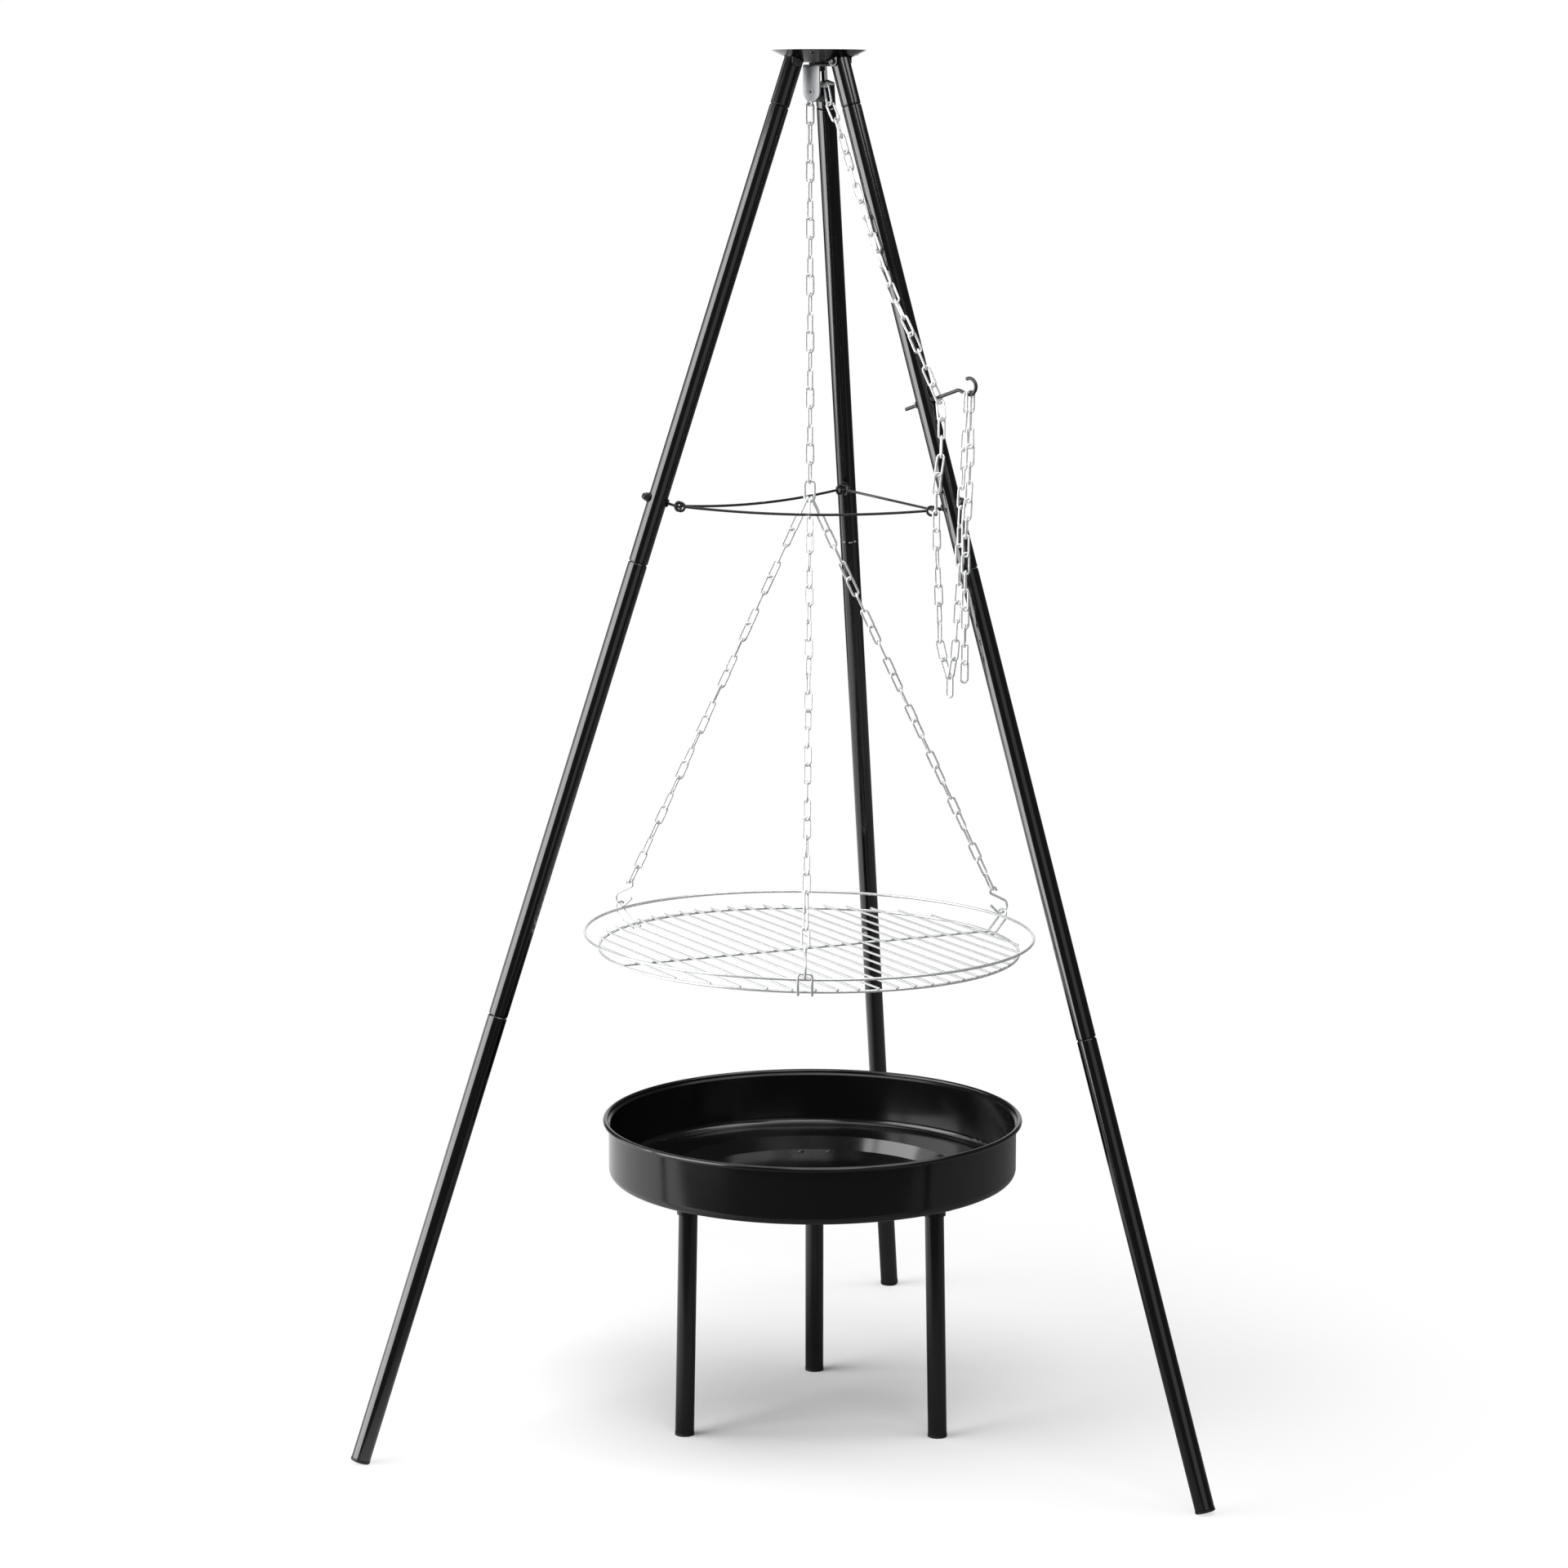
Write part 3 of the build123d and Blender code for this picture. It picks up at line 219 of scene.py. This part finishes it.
@dataclass(frozen=True)
class Finish:
    """A surface: what it is made of and how it was made."""

    name: str
    colour: str
    roughness: float
    metallic: float = 0.0
    specular: float = 0.5

    def material(self) -> bpy.types.Material:
        """Build the material, with this finish's own pattern on it.

        Returns:
            The finished material.
        """
        made = bpy.data.materials.get(self.name)
        if made:
            return made
        made = bpy.data.materials.new(self.name)
        made.use_nodes = True
        tree = made.node_tree
        shader = tree.nodes["Principled BSDF"]
        shader.inputs["Base Color"].default_value = linear(self.colour)
        shader.inputs["Roughness"].default_value = self.roughness
        shader.inputs["Metallic"].default_value = self.metallic
        shader.inputs["Specular IOR Level"].default_value = self.specular
        place = add_node(tree, "ShaderNodeTexCoord").outputs["Object"]
        self.pattern(tree, shader, place)
        return made

    def pattern(self, tree: Tree, shader: bpy.types.Node, place: bpy.types.NodeSocket) -> None:
        """Add what makes this finish more than one flat colour."""

    def relief(
        self, tree: Tree, shader: bpy.types.Node, height: bpy.types.NodeSocket, depth: float
    ) -> None:
        """Give the surface a relief.

        Args:
            tree: The material's tree.
            shader: The shader that takes the relief.
            height: The height, from 0 to 1.
            depth: How deep it is, in metres.
        """
        bump = add_node(tree, "ShaderNodeBump", {"Strength": 1.0, "Distance": depth}, Height=height)
        tree.links.new(bump.outputs["Normal"], shader.inputs["Normal"])

    def tint(
        self,
        tree: Tree,
        shader: bpy.types.Node,
        amount: bpy.types.NodeSocket,
        other: str,
        most: float,
    ) -> None:
        """Let the colour vary between this finish's own and another.

        Args:
            tree: The material's tree.
            shader: The shader that takes the colour.
            amount: Where the other colour shows.
            other: The other colour, as sRGB hex.
            most: The most of the other colour, from 0 to 1.
        """
        span = add_node(tree, "ShaderNodeMapRange", {"To Min": 0.0, "To Max": most}, Value=amount)
        mix = add_node(tree, "ShaderNodeMix", {"data_type": "RGBA"})
        tree.links.new(span.outputs["Result"], mix.inputs["Factor"])
        mix.inputs[MIX_COLOUR_A].default_value = linear(self.colour)
        mix.inputs[MIX_COLOUR_B].default_value = linear(other)
        tree.links.new(mix.outputs[MIX_COLOUR_RESULT], shader.inputs["Base Color"])

    def polish(
        self, tree: Tree, shader: bpy.types.Node, amount: bpy.types.NodeSocket, spread: float
    ) -> None:
        """Let the roughness vary around its own value.

        Args:
            tree: The material's tree.
            shader: The shader that takes the roughness.
            amount: Where it is rougher, from 0 to 1.
            spread: How far it goes to each side.
        """
        limits = {"To Min": self.roughness - spread, "To Max": self.roughness + spread}
        span = add_node(tree, "ShaderNodeMapRange", limits, Value=amount)
        tree.links.new(span.outputs["Result"], shader.inputs["Roughness"])


@dataclass(frozen=True)
class GlossPowderCoat(Finish):
    """Polyester powder baked on steel: deep black, with a faint orange peel."""

    peel_mm: float = 2.2

    def pattern(self, tree: Tree, shader: bpy.types.Node, place: bpy.types.NodeSocket) -> None:
        """Add orange peel, and the light handling marks that gloss shows."""
        peel = noise(tree, place, scale=1000 / self.peel_mm, detail=1.0)
        self.relief(tree, shader, peel, depth=0.00001)
        marks = noise(tree, place, scale=28.0, detail=6.0, roughness=0.62)
        self.polish(tree, shader, marks, spread=0.05)
        self.tint(tree, shader, marks, "#0c0c0e", most=0.5)


@dataclass(frozen=True)
class MouldedPlastic(Finish):
    """Injection moulded plastic: soft black with a spark-eroded grain and faint grey scuffs."""

    def pattern(self, tree: Tree, shader: bpy.types.Node, place: bpy.types.NodeSocket) -> None:
        """Add the mould's fine grain, and the scuffs of use."""
        grain = noise(tree, place, scale=2200.0, detail=2.0)
        self.relief(tree, shader, grain, depth=0.00006)
        scuffs = noise(tree, place, scale=160.0, detail=5.0)
        self.tint(tree, shader, scuffs, "#2a2a2b", most=0.6)


@dataclass(frozen=True)
class BlackZinc(Finish):
    """Black passivated zinc on small steel parts: dark, slightly uneven, half dull."""

    def pattern(self, tree: Tree, shader: bpy.types.Node, place: bpy.types.NodeSocket) -> None:
        """Add uneven passivation."""
        cloud = noise(tree, place, scale=220.0, detail=4.0)
        self.polish(tree, shader, cloud, spread=0.08)
        self.tint(tree, shader, cloud, "#2b2b2e", most=0.7)


@dataclass(frozen=True)
class BrightPlate(Finish):
    """Bright electroplate on wire: pale and shiny, softened by haze in the plate."""

    shade: str = "#cdd0d3"
    haze_mm: float = 6.0

    def pattern(self, tree: Tree, shader: bpy.types.Node, place: bpy.types.NodeSocket) -> None:
        """Add haze in the plate and the soft waviness of drawn wire."""
        haze = noise(tree, place, scale=1000 / self.haze_mm, detail=4.0)
        self.polish(tree, shader, haze, spread=0.07)
        self.tint(tree, shader, haze, self.shade, most=0.45)
        wave = noise(tree, place, scale=420.0, detail=2.0)
        self.relief(tree, shader, wave, depth=0.000004)


@dataclass(frozen=True)
class RolledZincStrip(Finish):
    """Zinc plated strip: light grey, with rolling lines along it."""

    stretch: tuple[float, float, float] = (1.0, 1.0, 0.06)

    def pattern(self, tree: Tree, shader: bpy.types.Node, place: bpy.types.NodeSocket) -> None:
        """Add rolling lines and the plate's cloudiness."""
        along = add_node(tree, "ShaderNodeMapping", {}, Vector=place)
        along.inputs["Scale"].default_value = self.stretch
        lines = noise(tree, along.outputs["Vector"], scale=900.0, detail=3.0)
        self.relief(tree, shader, lines, depth=0.00003)
        cloud = noise(tree, place, scale=90.0, detail=4.0)
        self.polish(tree, shader, cloud, spread=0.06)
        self.tint(tree, shader, cloud, "#8f9499", most=0.6)


@dataclass(frozen=True)
class StoveEnamel(Finish):
    """Heat-proof silicone enamel sprayed on spun steel: black, with a sheen that drifts slowly."""

    def pattern(self, tree: Tree, shader: bpy.types.Node, place: bpy.types.NodeSocket) -> None:
        """Add spray texture and slow changes of sheen."""
        spray = noise(tree, place, scale=700.0, detail=2.0)
        self.relief(tree, shader, spray, depth=0.000008)
        cloud = noise(tree, place, scale=14.0, detail=4.0)
        self.polish(tree, shader, cloud, spread=0.04)
        self.tint(tree, shader, cloud, "#100f0f", most=0.6)


LEG_COAT = GlossPowderCoat("steel_tube_gloss_powder_coat", "#050506", 0.12, specular=0.95)
HEAD_COAT = GlossPowderCoat(
    "pressed_steel_gloss_powder_coat", "#070708", 0.16, specular=0.8, peel_mm=1.6
)
FOOT = MouldedPlastic("polyethylene_moulded", "#0d0d0e", 0.42)
DARK_STEEL = BlackZinc("steel_black_zinc", "#161618", 0.34, metallic=0.0, specular=0.6)
WHEEL = MouldedPlastic("nylon_moulded", "#121213", 0.38)
CHAIN = BrightPlate("steel_chain_bright_zinc", "#f3f4f5", 0.3, metallic=0.45)
GRATE_WIRE = BrightPlate(
    "steel_wire_chrome_plate", "#f1f2f3", 0.24, metallic=0.55, shade="#d2d5d8", haze_mm=9.0
)
STRAP = RolledZincStrip("steel_strip_zinc_plate", "#e6e8ea", 0.36, metallic=0.4)
BOWL_COAT = StoveEnamel("spun_steel_stove_enamel", "#0b0b0b", 0.16, specular=0.7)


def dress(frame: Frame, finish: Finish, nodes: Iterable[str]) -> None:
    """Give nodes of the frame a finish.

    Args:
        frame: The loaded frame.
        finish: What they are finished with.
        nodes: Their names.
    """
    material = finish.material()
    for name in nodes:
        mesh = frame["nodes"][name].data
        mesh.materials.clear()
        mesh.materials.append(material)
        log.info("dressed %s in %s", name, finish.name)


def add_piece(piece: bpy.types.Object, finish: Finish, body: str | None = None) -> None:
    """Finish a new piece: its material and the body it moves with.

    Args:
        piece: The piece, already in place.
        finish: What it is finished with.
        body: The body it rides on, or None if it rides on none.
    """
    piece.data.materials.clear()
    piece.data.materials.append(finish.material())
    if body:
        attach(piece, body)
    log.info("added %s in %s", piece.name, finish.name)


# ---- the object -----------------------------------------------------------------------


@dataclass
class Legs:
    """Three legs of four tubes, with their feet, eye bolts and stretcher wires."""

    tubes: tuple[str, ...] = ("stub_tube", "upper_tube", "middle_tube", "lower_tube")
    fittings: tuple[str, ...] = ("stretcher_bolt", "stretcher_nut")
    stretchers: tuple[tuple[Side, Side], ...] = (
        (Side.LEFT, Side.RIGHT),
        (Side.LEFT, Side.BACK),
        (Side.RIGHT, Side.BACK),
    )

    def build(self, frame: Frame) -> None:
        """Make the stretcher wires in halves, cut at their middles.

        Args:
            frame: The loaded frame.
        """
        for first, last in self.stretchers:
            node = f"stretcher_{first}_{last}"
            for side, other in ((first, last), (last, first)):
                half = copy_of_node(frame, node, f"{node}_{side}_half")
                end = self.lug(side)
                middle = (self.lug(side) + self.lug(other)) / 2
                self.keep_half(half, middle, end)
                add_piece(half, DARK_STEEL)
                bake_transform(half)
                if side == first:
                    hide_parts(node)

    def lug(self, side: Side) -> Vector:
        """The middle of a leg's eye bolt, which its stretchers start from."""
        low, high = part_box(f"{side}_stretcher_bolt")
        return (low + high) / 2

    def keep_half(self, piece: bpy.types.Object, middle: Vector, end: Vector) -> None:
        """Cut a wire at its middle and keep the half at one end.

        Args:
            piece: The whole wire.
            middle: A point of the cut.
            end: A point on the side that stays.
        """
        way = (end - middle).normalized()
        pick(piece)
        bpy.ops.object.mode_set(mode="EDIT")
        bpy.ops.mesh.select_all(action="SELECT")
        bpy.ops.mesh.bisect(plane_co=middle, plane_no=way, use_fill=True, clear_inner=True)
        bpy.ops.object.mode_set(mode="OBJECT")

    def dress(self, frame: Frame) -> None:
        """Finish the tubes, feet and fittings."""
        for side in Side:
            dress(frame, LEG_COAT, [f"{side}_{tube}" for tube in self.tubes])
            dress(frame, FOOT, [f"{side}_foot_cap"])
            dress(frame, DARK_STEEL, [f"{side}_{fitting}" for fitting in self.fittings])


@dataclass
class Head:
    """The pressed head with its hinge brackets, and the pulley under it."""

    pressed: tuple[str, ...] = (
        "head_pan",
        "head_cap",
        "hinge_brackets",
        "pan_rivets",
        "bracket_rivets",
    )
    fasteners: tuple[str, ...] = (
        "hinge_bolts",
        "hinge_nuts",
        "centre_bolt",
        "centre_spacer_and_nut",
    )
    strap: tuple[str, ...] = ("pulley_strap", "pulley_axle", "pulley_spacer_and_clip")
    wheel: tuple[str, ...] = ("pulley_wheel",)

    def dress(self, frame: Frame) -> None:
        """Finish the head and the pulley."""
        dress(frame, HEAD_COAT, self.pressed)
        dress(frame, DARK_STEEL, self.fasteners)
        dress(frame, STRAP, self.strap)
        dress(frame, WHEEL, self.wheel)


@dataclass
class Chains:
    """The chain over the pulley, its hook and slack, and the three bridle chains."""

    links: tuple[str, ...] = (
        "pulley_chain",
        "top_link",
        "swing_link",
        "junction_link",
        "bridle_chains",
        "slack_chain",
        "chain_tail",
        "s_hooks",
    )
    hook: tuple[str, ...] = ("chain_hook", "chain_hook_nuts")
    lift_m: float = 0.10

    def build(self, frame: Frame) -> None:
        """Copy the runs of chain into pieces of their own: the twisting, the lifting and the
        hoisting run.

        Args:
            frame: The loaded frame.
        """
        twist = copy_of_node(frame, "twist_chain", "lift_chain_upper")
        add_piece(twist, CHAIN)
        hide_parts("twist_chain")
        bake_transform(twist)

        lift = copy_of_node(frame, "lift_chain", "lift_chain_lower")
        add_piece(lift, CHAIN, "lift_line")
        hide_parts("lift_chain")
        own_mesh(lift)

        hoist = copy_of_node(frame, "hoist_chain", "hoisting_chain")
        add_piece(hoist, CHAIN)
        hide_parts("hoist_chain")
        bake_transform(hoist)

    def dress(self, frame: Frame) -> None:
        """Finish the rigid links and the chain hook."""
        dress(frame, CHAIN, self.links)
        dress(frame, DARK_STEEL, self.hook)


@dataclass
class Grate:
    """Two wire rings, parallel bars, a rod across them and three wire hangers."""

    wires: tuple[str, ...] = (
        "grate_rim_ring",
        "grate_base_ring",
        "grate_bars",
        "grate_cross_rod",
        "grate_hangers",
    )

    def dress(self, frame: Frame) -> None:
        """Finish the wires."""
        dress(frame, GRATE_WIRE, self.wires)


@dataclass
class FireBowl:
    """A spun bowl with a rolled rim, on three screwed legs."""

    coated: tuple[str, ...] = ("fire_bowl", "bowl_legs", "bowl_screws")
    feet: tuple[str, ...] = ("bowl_feet",)
    bead_m: float = 0.0029
    bead_past_wall_m: float = 0.0002
    bead_past_top_m: float = 0.0003
    bead_closed: float = 1.8
    bead_sides: int = 20
    rim_steps: int = 240

    def build(self, frame: Frame) -> None:
        """Roll the rim: a smooth bead around the bowl's lip, open underneath where the sheet ends.

        Args:
            frame: The loaded frame; not used.
        """
        low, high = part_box("fire_bowl")
        middle = (low + high) / 2
        lip = (high.x - low.x) / 2 - self.bead_m + self.bead_past_wall_m
        deselect()
        bpy.ops.mesh.primitive_torus_add(
            location=(middle.x, middle.y, high.z - self.bead_m + self.bead_past_top_m),
            major_radius=lip,
            minor_radius=self.bead_m,
            major_segments=self.rim_steps,
            minor_segments=self.bead_sides,
        )
        bead = bpy.context.object
        bead.name = "rolled_bowl_rim"
        settle(bead)
        bpy.ops.object.mode_set(mode="EDIT")
        bpy.ops.mesh.select_all(action="SELECT")
        slot_z = high.z - self.bead_closed * self.bead_m
        bpy.ops.mesh.bisect(plane_co=(0, 0, slot_z), plane_no=(0, 0, 1), clear_inner=True)
        bpy.ops.object.mode_set(mode="OBJECT")
        bpy.ops.object.shade_smooth()
        add_piece(bead, BOWL_COAT, "fire_bowl")

    def dress(self, frame: Frame) -> None:
        """Finish the bowl and its legs."""
        dress(frame, BOWL_COAT, self.coated)
        dress(frame, FOOT, self.feet)


# ---- the studio -----------------------------------------------------------------------


@dataclass(frozen=True)
class Softbox:
    """A rectangular lamp that faces the object.

    Its turn is how far round from the camera it stands, positive to the right. Its level is how
    bright its face is, where 1 is white.
    """

    name: str
    turn_deg: float
    distance: float
    height: float
    size: tuple[float, float]
    level: float


SOFTBOXES = (
    Softbox("softbox_left", -70, 2.1, 1.22, (1.9, 2.35), 4.8),
    Softbox("softbox_left_back", -106, 2.1, 1.22, (1.0, 2.35), 1.5),
    Softbox("softbox_front_right", 26, 4.0, 1.6, (2.8, 3.0), 0.36),
    Softbox("softbox_key", 8, 2.5, 4.0, (2.4, 2.2), 3.6),
    Softbox("softbox_right_high", 72, 2.1, 3.7, (1.9, 1.9), 3.0),
    Softbox("softbox_top", 180, 0.3, 3.6, (3.2, 3.2), 1.5),
)


@dataclass
class Studio:
    """White paper on the floor, soft light, a white background and the camera."""

    eye: tuple[float, float, float] = (0.7882, -4.6874, 1.4889)
    heading_deg: float = 10.32
    pitch_deg: float = -9.04
    focal_mm: float = 92.77
    sensor_mm: float = 36.0
    view_limit_m: float = 60.0
    sheet_m: tuple[float, float, float, float] = (-2.4, 2.4, -0.8, 9.0)
    highest_aim_m: float = 1.6
    floor_colour: str = "#fcfcfc"
    floor_roughness: float = 0.9
    floor_specular: float = 0.1
    floor_fade_m: tuple[float, float] = (0.25, 0.85)
    # Painted shade: in gloss the paper's far side is darkened to this level, between these two
    # places across it.
    far_side_level: float = 0.2
    far_side_m: tuple[float, float] = (-0.15, -0.75)
    room_level: float = 0.07
    behind: tuple[float, float] = (0.9, 0.98)

    def build(self) -> None:
        """Set up the floor, the lamps, the world and the camera."""
        self.camera()
        self.floor()
        for softbox in SOFTBOXES:
            self.hang(softbox)
        self.world()
        bpy.context.scene.view_settings.view_transform = "Standard"

    def camera(self) -> None:
        """Place the camera and make it the scene's own."""
        data = bpy.data.cameras.new("camera")
        data.sensor_width = self.sensor_mm
        data.lens = self.focal_mm
        data.clip_end = self.view_limit_m
        camera = bpy.data.objects.new("camera", data)
        camera.location = self.eye
        tilt, turn = math.radians(90 + self.pitch_deg), math.radians(self.heading_deg)
        camera.rotation_euler = (tilt, 0, turn)
        bpy.context.scene.collection.objects.link(camera)
        bpy.context.scene.camera = camera

    def hang(self, softbox: Softbox) -> None:
        """Hang a softbox and turn its face to the object.

        Args:
            softbox: Where it stands, its size and its level.
        """
        width, depth = softbox.size
        data = bpy.data.lights.new(softbox.name, "AREA")
        data.shape = "RECTANGLE"
        data.size, data.size_y = width, depth
        data.energy = softbox.level * math.pi * width * depth
        lamp = bpy.data.objects.new(softbox.name, data)
        bearing = math.radians(self.heading_deg + softbox.turn_deg - 90)
        reach = softbox.distance
        lamp.location = (reach * math.cos(bearing), reach * math.sin(bearing), softbox.height)
        aim = Vector((0, 0, min(softbox.height, self.highest_aim_m))) - Vector(lamp.location)
        lamp.rotation_euler = aim.to_track_quat("-Z", "Y").to_euler()
        bpy.context.scene.collection.objects.link(lamp)

    def floor(self) -> None:
        """Lay a sheet of white paper under the object, which runs back into the background."""
        left, right, front, back = self.sheet_m
        deselect()
        middle = ((left + right) / 2, (front + back) / 2, 0)
        bpy.ops.mesh.primitive_plane_add(size=1, location=middle)
        floor = bpy.context.object
        floor.name = "floor"
        bpy.ops.transform.resize(value=(right - left, back - front, 1))
        settle(floor)
        floor.data.materials.append(self.paper())

    def paper(self) -> bpy.types.Material:
        """Build the paper's material, which fades to plain white away from the object.

        Returns:
            The finished material.
        """
        material = bpy.data.materials.new("studio_floor")
        material.use_nodes = True
        tree = material.node_tree
        shader = tree.nodes["Principled BSDF"]
        shader.inputs["Roughness"].default_value = self.floor_roughness
        shader.inputs["Specular IOR Level"].default_value = self.floor_specular
        place = add_node(tree, "ShaderNodeTexCoord").outputs["Object"]
        # The paper's level carries painted shade on its far side, seen in gloss only.
        level = self.level_in_gloss(tree, place)
        colour = add_node(tree, "ShaderNodeVectorMath", {"operation": "SCALE"}, Scale=level)
        colour.inputs[0].default_value = linear(self.floor_colour)[:3]
        tree.links.new(colour.outputs["Vector"], shader.inputs["Base Color"])
        reach = add_node(tree, "ShaderNodeVectorMath", {"operation": "LENGTH"})
        tree.links.new(place, reach.inputs[0])
        fade_start, fade_end = self.floor_fade_m
        fade = add_node(
            tree,
            "ShaderNodeMapRange",
            {"interpolation_type": "SMOOTHSTEP", "From Min": fade_start, "From Max": fade_end},
            Value=reach.outputs["Value"],
        )
        white = add_node(tree, "ShaderNodeEmission", {}, Strength=level)
        mix = add_node(tree, "ShaderNodeMixShader", {}, Fac=fade.outputs["Result"])
        tree.links.new(shader.outputs["BSDF"], mix.inputs[1])
        tree.links.new(white.outputs["Emission"], mix.inputs[2])
        tree.links.new(mix.outputs["Shader"], tree.nodes["Material Output"].inputs["Surface"])
        return material

    def level_in_gloss(self, tree: Tree, place: bpy.types.NodeSocket) -> bpy.types.NodeSocket:
        """Find how bright the paper looks: painted shade makes it dimmer in gloss on the side away
        from the lamps.

        Args:
            tree: The floor's tree.
            place: The place on the floor.

        Returns:
            The level, from 0 to 1.
        """
        # Painted shade: glossy rays see the paper darker towards its far side.
        across = add_node(tree, "ShaderNodeSeparateXYZ", {}, Vector=place).outputs["X"]
        far, near = self.far_side_m
        most_lost = 1.0 - self.far_side_level
        limits = {"From Min": far, "From Max": near, "To Min": most_lost, "To Max": 0.0}
        loss = add_node(tree, "ShaderNodeMapRange", limits, Value=across)
        rays = add_node(tree, "ShaderNodeLightPath")
        lost = add_node(tree, "ShaderNodeMath", {"operation": "MULTIPLY"})
        tree.links.new(loss.outputs["Result"], lost.inputs[0])
        tree.links.new(rays.outputs["Is Glossy Ray"], lost.inputs[1])
        level = add_node(tree, "ShaderNodeMath", {"operation": "SUBTRACT"})
        level.inputs[0].default_value = 1.0
        tree.links.new(lost.outputs["Value"], level.inputs[1])
        return level.outputs["Value"]

    def world(self) -> None:
        """Surround the object with a dim room, white to the camera and straight behind in gloss."""
        world = bpy.data.worlds.new("studio")
        world.use_nodes = True
        bpy.context.scene.world = world
        tree = world.node_tree
        white = tree.nodes["Background"]
        white.inputs["Color"].default_value = (1, 1, 1, 1)
        white.inputs["Strength"].default_value = 1.0
        room = add_node(tree, "ShaderNodeBackground", {"Strength": self.room_level})
        room.inputs["Color"].default_value = (1, 1, 1, 1)
        way = add_node(tree, "ShaderNodeTexCoord").outputs["Generated"]
        ahead = add_node(tree, "ShaderNodeVectorMath", {"operation": "DOT_PRODUCT"})
        heading = math.radians(self.heading_deg)
        tree.links.new(way, ahead.inputs[0])
        ahead.inputs[1].default_value = (-math.sin(heading), math.cos(heading), 0)
        edge, full = self.behind
        limits = {"From Min": edge, "From Max": full}
        behind = add_node(tree, "ShaderNodeMapRange", limits, Value=ahead.outputs["Value"])
        rays = add_node(tree, "ShaderNodeLightPath")
        gloss = add_node(tree, "ShaderNodeMath", {"operation": "MULTIPLY"})
        tree.links.new(rays.outputs["Is Glossy Ray"], gloss.inputs[0])
        tree.links.new(behind.outputs["Result"], gloss.inputs[1])
        direct = add_node(tree, "ShaderNodeMath", {"operation": "MAXIMUM"})
        tree.links.new(rays.outputs["Is Camera Ray"], direct.inputs[0])
        tree.links.new(rays.outputs["Is Transmission Ray"], direct.inputs[1])
        seen = add_node(tree, "ShaderNodeMath", {"operation": "MAXIMUM"})
        tree.links.new(direct.outputs["Value"], seen.inputs[0])
        tree.links.new(gloss.outputs["Value"], seen.inputs[1])
        mix = add_node(tree, "ShaderNodeMixShader", {}, Fac=seen.outputs["Value"])
        tree.links.new(room.outputs["Background"], mix.inputs[1])
        tree.links.new(white.outputs["Background"], mix.inputs[2])
        tree.links.new(mix.outputs["Shader"], tree.nodes["World Output"].inputs["Surface"])


def main() -> None:
    """Build the object and the studio, in order."""
    logging.basicConfig(level=logging.INFO, format="%(name)s: %(message)s")
    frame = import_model()
    Studio().build()
    legs, chains, bowl = Legs(), Chains(), FireBowl()
    for part in (legs, chains, bowl):
        part.build(frame)
    for part in (legs, Head(), chains, Grate(), bowl):
        part.dress(frame)


if __name__ == "__main__":
    main()
